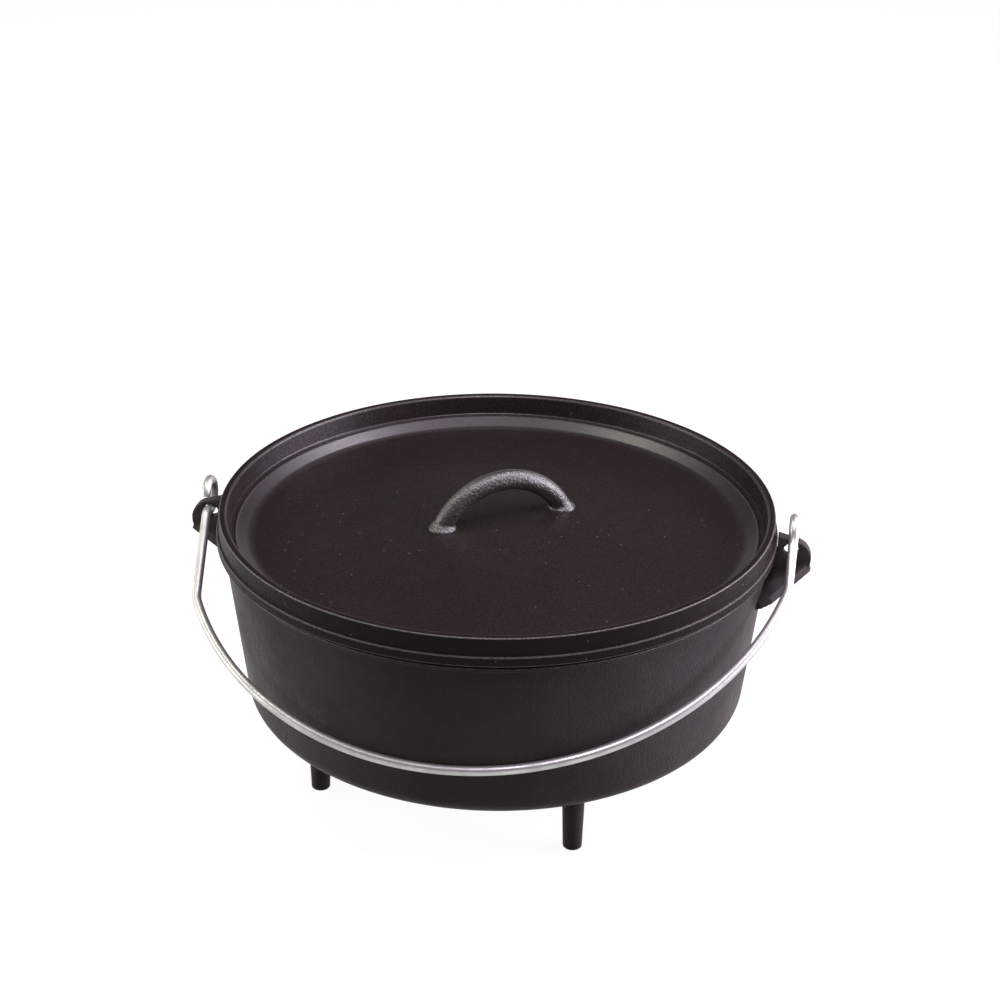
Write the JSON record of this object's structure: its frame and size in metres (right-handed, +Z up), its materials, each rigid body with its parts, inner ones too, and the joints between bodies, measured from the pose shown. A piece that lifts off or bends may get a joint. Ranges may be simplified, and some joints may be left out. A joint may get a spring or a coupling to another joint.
{
  "type": "camp dutch oven",
  "caption": "Round cast-iron camp pot on tapered legs, with a rimmed lid that lifts off, an arched lid handle and a swinging wire bail hooked into two ears.",
  "frame": {"origin": "on the ground, on the pot's axis", "axes": "+X to the ear on the right seen from the front, +Y to the back, +Z up; the bail rests at the front, toward -Y"},
  "size_m": [0.3728, 0.3316, 0.1907],
  "materials": {
    "iron": "seasoned, fine sand-cast grain",
    "wire": "dull plated wire"
  },
  "bodies": {
    "pot": {"pot": "iron", "leg_front": "iron", "leg_left": "iron", "leg_back": "iron", "leg_right": "iron", "ear_right": "iron", "ear_left": "iron"},
    "lid": {"lid": "iron", "lid_handle": "iron"},
    "bail": {"bail": "wire"}
  },
  "joints": [
    {"name": "bail_swing", "type": "hinge", "parent": "pot", "child": "bail", "pos_m": [0, 0, 0.1631], "axis": [-1, 0, 0], "range_deg": [0, 222]},
    {"name": "lid_lift", "type": "slide", "parent": "pot", "child": "lid", "axis": [0, 0, 1], "range_m": [0, 0.1]}
  ]
}
